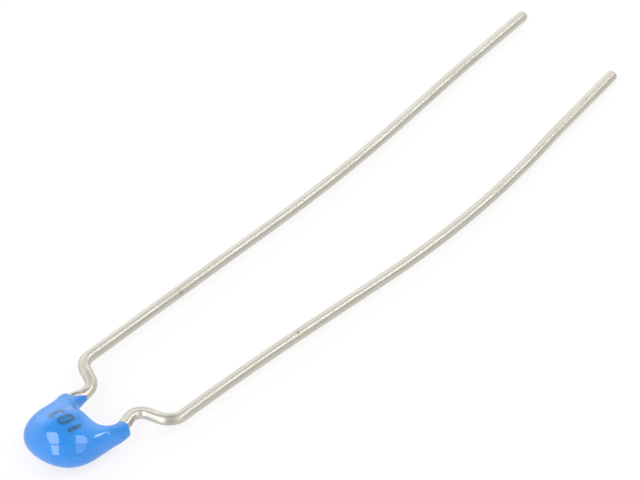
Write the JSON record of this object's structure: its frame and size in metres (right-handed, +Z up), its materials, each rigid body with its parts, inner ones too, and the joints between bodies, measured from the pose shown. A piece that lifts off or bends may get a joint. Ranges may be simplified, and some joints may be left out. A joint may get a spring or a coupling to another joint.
{
  "type": "multilayer ceramic capacitor",
  "caption": "Radial-leaded capacitor: a ceramic chip with interleaved electrodes between two formed wire leads, dipped in glossy blue epoxy.",
  "frame": {"origin": "bottom centre of the part's bounding box, on the surface it lies on", "axes": "+Y along the leads towards their free ends, +X across them towards the right lead, +Z up"},
  "size_m": [0.0079, 0.0348, 0.0021],
  "materials": {
    "epoxy": "glossy dipped epoxy",
    "tinned_wire": "tin-plated drawn wire",
    "solder": "satin",
    "termination": "matt tin",
    "ceramic": "fired ceramic",
    "electrode": "nickel"
  },
  "bodies": {
    "root": {"epoxy_coating": "epoxy", "left_lead": "tinned_wire", "right_lead": "tinned_wire", "left_solder": "solder", "right_solder": "solder", "left_termination": "termination", "right_termination": "termination", "ceramic_body": "ceramic", "electrode_01": "electrode", "electrode_02": "electrode", "electrode_03": "electrode", "electrode_04": "electrode", "electrode_05": "electrode", "electrode_06": "electrode", "electrode_07": "electrode", "electrode_08": "electrode", "electrode_09": "electrode", "electrode_10": "electrode", "electrode_11": "electrode", "electrode_12": "electrode"}
  },
  "joints": []
}
